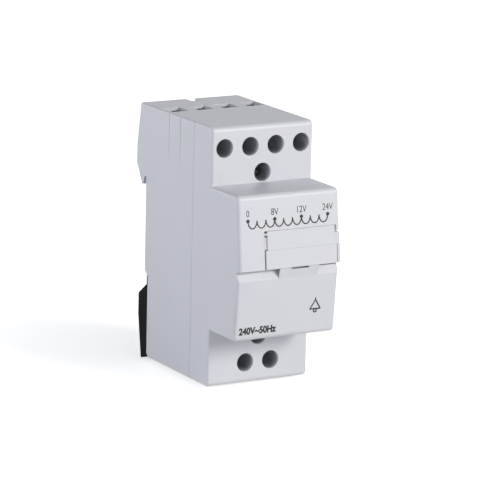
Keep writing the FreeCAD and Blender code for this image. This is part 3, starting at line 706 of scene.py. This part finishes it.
@dataclass
class NosePrint:
    """Marks printed on the nose: the tapped winding, its voltages, the mains rating and a bell."""

    film: float = 0.03
    line: float = 0.37
    tap_across: float = -14.4
    tap_level: float = 14.85
    tap_pitch: float = 9.26
    arcs_per_tap: int = 3
    arc_depth: float = 2.35
    arc_steps: int = 20
    dot: float = 1.15
    dot_sides: int = 24
    voltages: tuple[str, ...] = ("0", "8V", "12V", "24V")
    voltage_level: float = 16.1
    voltage_style: TypeStyle = TypeStyle(size=2.9, narrow=0.8, align=Align.MIDDLE)
    rating: str = "240V~50Hz"
    rating_across: float = -16.2
    rating_level: float = -20.3
    rating_style: TypeStyle = TypeStyle(size=3.0, narrow=0.88, align=Align.LEFT, weight=0.14)
    figure_steps: int = 4
    figure_weld: float = 0.001
    bell: BellSign = BellSign()
    bell_across: float = 10.05
    bell_level: float = -14.5

    def build(self) -> None:
        """Builds every mark and lays it on its face."""
        ink = material_of(PRINT_INK)
        self.add("winding_symbol", self.winding_mesh(ink), NOSE_FACE.place(self.tap_across, self.tap_level))
        for number, words in enumerate(self.voltages):
            across = self.tap_across + number * self.tap_pitch
            self.add(f"tap_voltage_{number + 1}", self.word_mesh(words, self.voltage_style, ink),
                     NOSE_FACE.place(across, self.voltage_level))
        self.add("mains_rating", self.word_mesh(self.rating, self.rating_style, ink),
                 CHIN_FACE.place(self.rating_across, self.rating_level))
        self.add("bell_sign", self.bell_mesh(ink), CHIN_FACE.place(self.bell_across, self.bell_level))

    def add(self, name: str, mesh: bpy.types.Mesh, place: Matrix) -> None:
        """Lays a mark on its face and lets it ride on the housing.

        Args:
            name: Name of the mark.
            mesh: Mark drawn flat round its own origin.
            place: Frame on the face.
        """
        mesh.transform(place)
        piece = add_object(name, mesh)
        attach(piece, "housing")
        LOG.info("%s: %d faces", name, len(mesh.polygons))

    def add_stroke(self, tree: bpy.types.NodeTree, curve: bpy.types.NodeSocket,
                   sizes: bpy.types.bpy_prop_collection) -> bpy.types.NodeSocket:
        """Adds nodes that draw a flat curve as a printed line.

        Args:
            tree: The tree.
            curve: Socket that gives the curve.
            sizes: Sockets of the tree's inputs, among them Line and Film.

        Returns:
            The socket that gives the line's mesh.
        """
        upright = add_node(tree, "GeometryNodeSetCurveNormal", {"mode": "Z_UP"}, {"Curve": curve})
        nib = add_node(tree, "GeometryNodeCurvePrimitiveQuadrilateral", inputs={
            "Width": sizes["Line"], "Height": sizes["Film"]})
        stroke = add_node(tree, "GeometryNodeCurveToMesh", inputs={
            "Curve": upright.outputs["Curve"], "Profile Curve": nib.outputs["Curve"], "Fill Caps": True})
        return stroke.outputs["Mesh"]

    def winding_tree(self) -> bpy.types.NodeTree:
        """Tree that draws a tapped winding: arcs along a line and a dot at every tap.

        Returns:
            The tree, with named inputs for its sizes in metres.
        """
        tree, given = new_tree("tapped_winding", {
            "Arc Pitch": Socket.SIZE, "Arc Depth": Socket.SIZE, "Arcs": Socket.COUNT, "Taps": Socket.COUNT,
            "Arcs Per Tap": Socket.COUNT, "Line": Socket.SIZE, "Dot": Socket.SIZE, "Film": Socket.SIZE,
            "Ink": Socket.FINISH})
        sizes = given.outputs
        half = add_node(tree, "ShaderNodeMath", {"operation": "MULTIPLY"}, {0: sizes["Arc Pitch"], 1: 0.5})
        shape = add_node(tree, "ShaderNodeCombineXYZ", inputs={
            "X": half.outputs["Value"], "Y": sizes["Arc Depth"], "Z": 1.0})
        arc = add_node(tree, "GeometryNodeCurveArc", inputs={
            "Resolution": self.arc_steps, "Radius": 1.0, "Start Angle": math.pi, "Sweep Angle": math.pi})
        bowl = add_node(tree, "GeometryNodeTransform", inputs={
            "Geometry": arc.outputs["Curve"], "Scale": shape.outputs["Vector"]})
        stroke = self.add_stroke(tree, bowl.outputs["Geometry"], sizes)
        first = add_node(tree, "ShaderNodeCombineXYZ", inputs={"X": half.outputs["Value"]})
        step = add_node(tree, "ShaderNodeCombineXYZ", inputs={"X": sizes["Arc Pitch"]})
        row = add_node(tree, "GeometryNodeMeshLine", inputs={
            "Count": sizes["Arcs"], "Start Location": first.outputs["Vector"],
            "Offset": step.outputs["Vector"]})
        arcs = add_node(tree, "GeometryNodeInstanceOnPoints", inputs={
            "Points": row.outputs["Mesh"], "Instance": stroke})
        jump = add_node(tree, "ShaderNodeMath", {"operation": "MULTIPLY"}, {
            0: sizes["Arc Pitch"], 1: sizes["Arcs Per Tap"]})
        stride = add_node(tree, "ShaderNodeCombineXYZ", inputs={"X": jump.outputs["Value"]})
        ends = add_node(tree, "GeometryNodeMeshLine", inputs={
            "Count": sizes["Taps"], "Offset": stride.outputs["Vector"]})
        radius = add_node(tree, "ShaderNodeMath", {"operation": "MULTIPLY"}, {0: sizes["Dot"], 1: 0.5})
        disc = add_node(tree, "GeometryNodeMeshCylinder", inputs={
            "Vertices": self.dot_sides, "Radius": radius.outputs["Value"], "Depth": sizes["Film"]})
        dots = add_node(tree, "GeometryNodeInstanceOnPoints", inputs={
            "Points": ends.outputs["Mesh"], "Instance": disc.outputs["Mesh"]})
        both = add_node(tree, "GeometryNodeJoinGeometry", inputs={"Geometry": arcs.outputs["Instances"]})
        tree.links.new(dots.outputs["Instances"], both.inputs["Geometry"])
        end_tree(tree, both.outputs["Geometry"], sizes["Ink"])
        return tree

    def winding_mesh(self, ink: bpy.types.Material) -> bpy.types.Mesh:
        """Draws the tapped winding.

        Args:
            ink: Material of the print.

        Returns:
            The mesh, flat round its first tap.
        """
        taps = len(self.voltages)
        return grown_mesh("winding_symbol", bpy.data.meshes.new("winding_start"), self.winding_tree(), {
            "Arc Pitch": self.tap_pitch / self.arcs_per_tap * MM, "Arc Depth": self.arc_depth * MM,
            "Arcs": (taps - 1) * self.arcs_per_tap, "Taps": taps, "Arcs Per Tap": self.arcs_per_tap,
            "Line": self.line * MM, "Dot": self.dot * MM, "Film": 2 * self.film * MM, "Ink": ink})

    def word_mesh(self, words: str, style: TypeStyle, ink: bpy.types.Material) -> bpy.types.Mesh:
        """Draws figures as a thin film.

        Args:
            words: Figures to draw.
            style: Their size, width and stroke.
            ink: Material of the print.

        Returns:
            The mesh, flat round its own origin.
        """
        curve = bpy.data.curves.new("figures", "FONT")
        curve.body = words
        curve.size = style.size
        curve.align_x = style.align.value
        curve.offset = style.weight
        curve.extrude = self.film
        curve.resolution_u = self.figure_steps
        mesh = evaluated_mesh(add_object("figures", curve), "figures")
        # A thickened figure can come out with a few thin faces turned inwards.
        shape = bmesh.new()
        shape.from_mesh(mesh)
        bmesh.ops.remove_doubles(shape, verts=shape.verts, dist=self.figure_weld)
        bmesh.ops.recalc_face_normals(shape, faces=shape.faces)
        shape.to_mesh(mesh)
        shape.free()
        mesh.transform(Matrix.Diagonal((style.narrow * MM, MM, MM, 1.0)))
        mesh.materials.clear()
        mesh.materials.append(ink)
        return mesh

    def line_tree(self) -> bpy.types.NodeTree:
        """Tree that draws every spline of a flat curve as a printed line.

        Returns:
            The tree, with named inputs for its sizes in metres.
        """
        tree, given = new_tree("printed_line", {
            "Drawing": Socket.SHAPE, "Line": Socket.SIZE, "Film": Socket.SIZE, "Ink": Socket.FINISH})
        sizes = given.outputs
        end_tree(tree, self.add_stroke(tree, sizes["Drawing"], sizes), sizes["Ink"])
        return tree

    def bell_mesh(self, ink: bpy.types.Material) -> bpy.types.Mesh:
        """Draws the bell.

        Args:
            ink: Material of the print.

        Returns:
            The mesh, flat round the middle of the rim.
        """
        curve = bpy.data.curves.new("bell", "CURVE")
        curve.dimensions = "3D"
        for points in self.bell.lines():
            spline = curve.splines.new("POLY")
            spline.points.add(len(points) - 1)
            for point, (across, up) in zip(spline.points, points):
                point.co = (across * MM, up * MM, 0.0, 1.0)
        return grown_mesh("bell_sign", curve, self.line_tree(), {
            "Line": self.bell.line * MM, "Film": 2 * self.film * MM, "Ink": ink})


@dataclass(frozen=True)
class Lamp:
    """A square soft lamp, in millimetres and watts."""

    name: str
    place: tuple[float, float, float]
    size: float
    watts: float
    colour: str


@dataclass
class Studio:
    """Pale floor, soft light and the camera, as the object was photographed, in millimetres."""

    floor_level: float = -41.7
    floor_half: float = 6000.0
    sky: str = "#f3f6ff"
    horizon_strength: float = 0.5
    zenith_strength: float = 0.0
    lamps: tuple[Lamp, ...] = (
        Lamp(name="key", place=(560.0, -1115.0, 500.0), size=450.0, watts=12.4, colour="#fffaf3"),
        Lamp(name="fill", place=(-1230.0, -350.0, 250.0), size=900.0, watts=6.9, colour="#fafaff"),
        Lamp(name="top", place=(-100.0, -200.0, 1300.0), size=900.0, watts=1.0, colour="#d2e6ff"),
        Lamp(name="back", place=(-700.0, 1100.0, 60.0), size=250.0, watts=2.5, colour=WHITE))
    aim: tuple[float, float, float] = (0.0, -27.0, 0.0)
    eye: tuple[float, float, float] = (-477.71, -864.77, 219.81)
    right: tuple[float, float, float] = (0.870409, -0.491774, 0.023383)
    down: tuple[float, float, float] = (-0.088937, -0.203771, -0.974971)
    focal_pixels: float = 3185.9
    sensor: float = 36.0
    clip_near: float = 10.0
    clip_far: float = 50000.0

    def build(self) -> None:
        """Builds the floor, the light and the camera."""
        self.build_floor()
        self.build_sky()
        for lamp in self.lamps:
            self.build_lamp(lamp)
        self.build_camera()
        bpy.context.scene.view_settings.view_transform = "Standard"

    def build_floor(self) -> None:
        """Lays a wide pale floor that looks white and keeps the object's shadow."""
        half, level = self.floor_half * MM, self.floor_level * MM
        mesh = bpy.data.meshes.new("floor")
        corners = [(-half, -half, level), (half, -half, level), (half, half, level), (-half, half, level)]
        mesh.from_pydata(corners, [], [(0, 1, 2, 3)])
        mesh.materials.append(material_of(FLOOR_PAPER))
        floor = add_object("floor", mesh)

    def build_sky(self) -> None:
        """Lights the object from a pale surround that is dimmer overhead, and shows white behind it."""
        world = bpy.data.worlds.new("studio")
        world.use_nodes = True
        tree = world.node_tree
        tree.nodes.clear()
        rays = add_node(tree, "ShaderNodeLightPath")
        direct = add_node(tree, "ShaderNodeMath", {"operation": "ADD"}, {
            0: rays.outputs["Is Camera Ray"], 1: rays.outputs["Is Glossy Ray"]})
        seen = add_node(tree, "ShaderNodeMath", {"operation": "ADD", "use_clamp": True}, {
            0: direct.outputs["Value"], 1: rays.outputs["Is Transmission Ray"]})
        way = add_node(tree, "ShaderNodeTexCoord")
        axes = add_node(tree, "ShaderNodeSeparateXYZ", inputs={"Vector": way.outputs["Generated"]})
        strength = add_node(tree, "ShaderNodeMapRange", inputs={
            "Value": axes.outputs["Z"], "To Min": self.horizon_strength, "To Max": self.zenith_strength})
        soft = add_node(tree, "ShaderNodeBackground", inputs={
            "Color": linear(self.sky), "Strength": strength.outputs["Result"]})
        white = add_node(tree, "ShaderNodeBackground", inputs={"Color": linear(WHITE), "Strength": 1.0})
        mixed = add_node(tree, "ShaderNodeMixShader", inputs={
            "Fac": seen.outputs["Value"], 1: soft.outputs["Background"], 2: white.outputs["Background"]})
        add_node(tree, "ShaderNodeOutputWorld", inputs={"Surface": mixed.outputs["Shader"]})
        bpy.context.scene.world = world

    def build_lamp(self, lamp: Lamp) -> None:
        """Hangs a soft lamp that points at the object.

        Args:
            lamp: Sizes and place of the lamp.
        """
        light = bpy.data.lights.new(lamp.name, "AREA")
        light.size = lamp.size * MM
        light.energy = lamp.watts
        light.color = linear(lamp.colour)[:3]
        holder = add_object(lamp.name, light)
        holder.location = Vector(lamp.place) * MM
        towards = (Vector(self.aim) - Vector(lamp.place)).normalized()
        holder.rotation_euler = towards.to_track_quat("-Z", "Y").to_euler()

    def build_camera(self) -> None:
        """Sets the camera at the photograph's place, turn and focal length."""
        lens = bpy.data.cameras.new("camera")
        lens.sensor_width = self.sensor
        lens.lens = self.focal_pixels / PHOTO_PIXELS * self.sensor
        lens.clip_start, lens.clip_end = self.clip_near * MM, self.clip_far * MM
        camera = add_object("camera", lens)
        right = Vector(self.right).normalized()
        up = -Vector(self.down)
        up = (up - right * up.dot(right)).normalized()
        turn = Matrix((right, up, right.cross(up))).transposed().to_4x4()
        camera.matrix_world = Matrix.Translation(Vector(self.eye) * MM) @ turn
        bpy.context.scene.camera = camera


@dataclass(frozen=True)
class SlottedScrew:
    """A turned screw: chamfered head with a slot and a rolled thread, in millimetres."""

    HEAD_SIDES: ClassVar[int] = 48
    CORE_SIDES: ClassVar[int] = 32
    TURN_STEPS: ClassVar[int] = 24
    RIDGE_SIDES: ClassVar[int] = 4

    head: float
    head_height: float
    shank: float
    pitch: float
    thread: float = 0.3
    chamfer: float = 0.4
    slot: float = 1.0
    slot_depth: float = 1.4
    sharp_degrees: float = 40.0

    def tree(self) -> bpy.types.NodeTree:
        """Tree that builds the screw with the top of its head at the origin and its shank along -Z.

        Returns:
            The tree, with named inputs for its sizes in metres.
        """
        found = bpy.data.node_groups.get("slotted_screw")
        if found:
            return found
        names = ("Head", "Head Height", "Shank", "Length", "Pitch", "Thread", "Chamfer", "Slot", "Slot Depth")
        tree, given = new_tree("slotted_screw", {
            **dict.fromkeys(names, Socket.SIZE), "Metal": Socket.FINISH})
        size = given.outputs
        head_radius = add_node(tree, "ShaderNodeMath", {"operation": "MULTIPLY"}, {0: size["Head"], 1: 0.5})
        rim_radius = add_node(tree, "ShaderNodeMath", {"operation": "SUBTRACT"}, {
            0: head_radius.outputs["Value"], 1: size["Chamfer"]})
        rim_share = add_node(tree, "ShaderNodeMath", {"operation": "DIVIDE"}, {
            0: rim_radius.outputs["Value"], 1: head_radius.outputs["Value"]})
        drum_height = add_node(tree, "ShaderNodeMath", {"operation": "SUBTRACT"}, {
            0: size["Head Height"], 1: size["Chamfer"]})
        drum_foot = add_node(tree, "ShaderNodeMath", {"operation": "MULTIPLY"}, {
            0: size["Head Height"], 1: -1.0})
        drum_place = add_node(tree, "ShaderNodeCombineXYZ", inputs={"Z": drum_foot.outputs["Value"]})
        drum = add_node(tree, "GeometryNodeMeshCone", inputs={
            "Vertices": self.HEAD_SIDES, "Radius Top": head_radius.outputs["Value"],
            "Radius Bottom": head_radius.outputs["Value"], "Depth": drum_height.outputs["Value"]})
        raised = add_node(tree, "GeometryNodeExtrudeMesh", {"mode": "FACES"}, {
            "Mesh": drum.outputs["Mesh"], "Selection": drum.outputs["Top"], "Offset Scale": size["Chamfer"],
            "Individual": False})
        blank = add_node(tree, "GeometryNodeScaleElements", {"domain": "FACE"}, {
            "Geometry": raised.outputs["Mesh"], "Selection": raised.outputs["Top"],
            "Scale": rim_share.outputs["Value"]})
        drum_set = add_node(tree, "GeometryNodeTransform", inputs={
            "Geometry": blank.outputs["Geometry"], "Translation": drum_place.outputs["Vector"]})
        slot_height = add_node(tree, "ShaderNodeMath", {"operation": "MULTIPLY"}, {
            0: size["Slot Depth"], 1: 2.0})
        slot_size = add_node(tree, "ShaderNodeCombineXYZ", inputs={
            "X": size["Length"], "Y": size["Slot"], "Z": slot_height.outputs["Value"]})
        blade = add_node(tree, "GeometryNodeMeshCube", inputs={"Size": slot_size.outputs["Vector"]})
        head = add_node(tree, "GeometryNodeMeshBoolean", {"operation": "DIFFERENCE", "solver": "EXACT"}, {
            "Mesh 1": drum_set.outputs["Geometry"], "Mesh 2": blade.outputs["Mesh"]})
        shank_radius = add_node(tree, "ShaderNodeMath", {"operation": "MULTIPLY"}, {0: size["Shank"], 1: 0.5})
        core_radius = add_node(tree, "ShaderNodeMath", {"operation": "SUBTRACT"}, {
            0: shank_radius.outputs["Value"], 1: size["Thread"]})
        shank_length = add_node(tree, "ShaderNodeMath", {"operation": "SUBTRACT"}, {
            0: size["Length"], 1: size["Head Height"]})
        tip = add_node(tree, "ShaderNodeMath", {"operation": "MULTIPLY"}, {0: size["Length"], 1: -1.0})
        tip_place = add_node(tree, "ShaderNodeCombineXYZ", inputs={"Z": tip.outputs["Value"]})
        core = add_node(tree, "GeometryNodeMeshCone", inputs={
            "Vertices": self.CORE_SIDES, "Radius Top": core_radius.outputs["Value"],
            "Radius Bottom": core_radius.outputs["Value"], "Depth": shank_length.outputs["Value"]})
        core_set = add_node(tree, "GeometryNodeTransform", inputs={
            "Geometry": core.outputs["Mesh"], "Translation": tip_place.outputs["Vector"]})
        run_out = add_node(tree, "ShaderNodeMath", {"operation": "SUBTRACT"}, {
            0: shank_length.outputs["Value"], 1: size["Pitch"]})
        turns = add_node(tree, "ShaderNodeMath", {"operation": "DIVIDE"}, {
            0: run_out.outputs["Value"], 1: size["Pitch"]})
        helix = add_node(tree, "GeometryNodeCurveSpiral", inputs={
            "Resolution": self.TURN_STEPS, "Rotations": turns.outputs["Value"],
            "Start Radius": core_radius.outputs["Value"], "End Radius": core_radius.outputs["Value"],
            "Height": run_out.outputs["Value"]})
        half_pitch = add_node(tree, "ShaderNodeMath", {"operation": "MULTIPLY_ADD"}, {
            0: size["Pitch"], 1: 0.5, 2: tip.outputs["Value"]})
        helix_place = add_node(tree, "ShaderNodeCombineXYZ", inputs={"Z": half_pitch.outputs["Value"]})
        ridge = add_node(tree, "GeometryNodeCurvePrimitiveCircle", inputs={
            "Resolution": self.RIDGE_SIDES, "Radius": size["Thread"]})
        thread = add_node(tree, "GeometryNodeCurveToMesh", inputs={
            "Curve": helix.outputs["Curve"], "Profile Curve": ridge.outputs["Curve"], "Fill Caps": True})
        thread_set = add_node(tree, "GeometryNodeTransform", inputs={
            "Geometry": thread.outputs["Mesh"], "Translation": helix_place.outputs["Vector"]})
        whole = add_node(tree, "GeometryNodeJoinGeometry", inputs={"Geometry": head.outputs["Mesh"]})
        tree.links.new(core_set.outputs["Geometry"], whole.inputs["Geometry"])
        tree.links.new(thread_set.outputs["Geometry"], whole.inputs["Geometry"])
        end_tree(tree, whole.outputs["Geometry"], size["Metal"])
        return tree

    def build(self, node: str, body: str, metal: bpy.types.Material) -> None:
        """Builds the screw in the place of a CAD node.

        Args:
            node: CAD node that the screw stands for.
            body: Body that it rides on.
            metal: Material of the screw.
        """
        low, high = [Vector(corner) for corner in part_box(node)]
        mesh = grown_mesh(f"{node}_turned", bpy.data.meshes.new("screw_start"), self.tree(), {
            "Head": self.head * MM, "Head Height": self.head_height * MM, "Shank": self.shank * MM,
            "Length": high.y - low.y, "Pitch": self.pitch * MM, "Thread": self.thread * MM,
            "Chamfer": self.chamfer * MM, "Slot": self.slot * MM, "Slot Depth": self.slot_depth * MM,
            "Metal": metal})
        middle = (low + high) / 2
        front = Matrix.Translation((middle.x, low.y, middle.z))
        mesh.transform(front @ Matrix.Rotation(math.pi / 2, 4, "X"))
        mesh.polygons.foreach_set("use_smooth", [True] * len(mesh.polygons))
        mesh.set_sharp_from_angle(angle=math.radians(self.sharp_degrees))
        piece = add_object(f"{node}_turned", mesh)
        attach(piece, body)
        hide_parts(node)
        LOG.info("%s: %d faces", piece.name, len(mesh.polygons))


@dataclass
class Housing:
    """Base and cover of the housing and the two screws that hold them together."""

    frame: dict[str, Any]
    screw: SlottedScrew = SlottedScrew(head=5.2, head_height=2.2, shank=2.4, pitch=0.9)
    screw_nodes: tuple[str, ...] = ("fixing_screw_1", "fixing_screw_2")

    def build(self) -> None:
        """Builds the two fixing screws."""
        for node in self.screw_nodes:
            self.screw.build(node, "housing", material_of(DARK_STEEL))

    def dress(self) -> None:
        """Gives the mouldings and the screws their finish."""
        dress(self.frame, CASE, ["front_cover", "rear_base"])
        dress(self.frame, DARK_STEEL, list(self.screw_nodes))


@dataclass
class LabelFlap:
    """The hinged flap in the nose."""

    frame: dict[str, Any]

    def dress(self) -> None:
        """Gives the flap the finish of the case."""
        dress(self.frame, CASE, ["label_flap"])


@dataclass
class RailClip:
    """The black sliding clip."""

    frame: dict[str, Any]

    def dress(self) -> None:
        """Gives the clip its nylon."""
        dress(self.frame, CLIP_NYLON, ["rail_clip"])


@dataclass
class ScrewTerminals:
    """The six clamp terminals: screws, lifting cages and contact bars."""

    frame: dict[str, Any]
    screw: SlottedScrew = SlottedScrew(head=6.0, head_height=2.8, shank=3.9, pitch=0.7)

    def nodes(self, kind: str) -> list[str]:
        """Names of all nodes of one kind on the terminals."""
        return [name for name in sorted(self.frame["nodes"]) if f"_{kind}_" in name and "fixing" not in name]

    def build(self) -> None:
        """Builds a turned screw for every terminal."""
        for node in self.nodes("screw"):
            self.screw.build(node, node, material_of(ZINC_STEEL))

    def dress(self) -> None:
        """Gives screws, cages and bars their metals."""
        dress(self.frame, ZINC_STEEL, self.nodes("screw") + self.nodes("cage"))
        dress(self.frame, BRASS, self.nodes("bar"))


@dataclass
class Transformer:
    """Core, coil former, windings, thermal link and leads inside the housing."""

    frame: dict[str, Any]

    def dress(self) -> None:
        """Gives every piece of the transformer its finish."""
        dress(self.frame, FORMER_NYLON, ["bobbin"])
        dress(self.frame, LINK_EPOXY, ["thermal_link"])
        dress(self.frame, CORE_STACK, ["e_laminations", "i_laminations"])
        dress(self.frame, WINDING_TAPE, ["primary_winding", "secondary_winding"])
        dress(self.frame, LEAD_SLEEVE, [name for name in sorted(self.frame["nodes"]) if "_lead_" in name])


def main() -> None:
    """Loads the frame, dresses it, adds the printed marks and sets the studio."""
    logging.basicConfig(level=logging.INFO, format="%(name)s %(message)s")
    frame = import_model()
    housing = Housing(frame)
    housing.build()
    housing.dress()
    LabelFlap(frame).dress()
    RailClip(frame).dress()
    terminals = ScrewTerminals(frame)
    terminals.build()
    terminals.dress()
    Transformer(frame).dress()
    NosePrint().build()
    Studio().build()


if __name__ == "__main__":
    main()
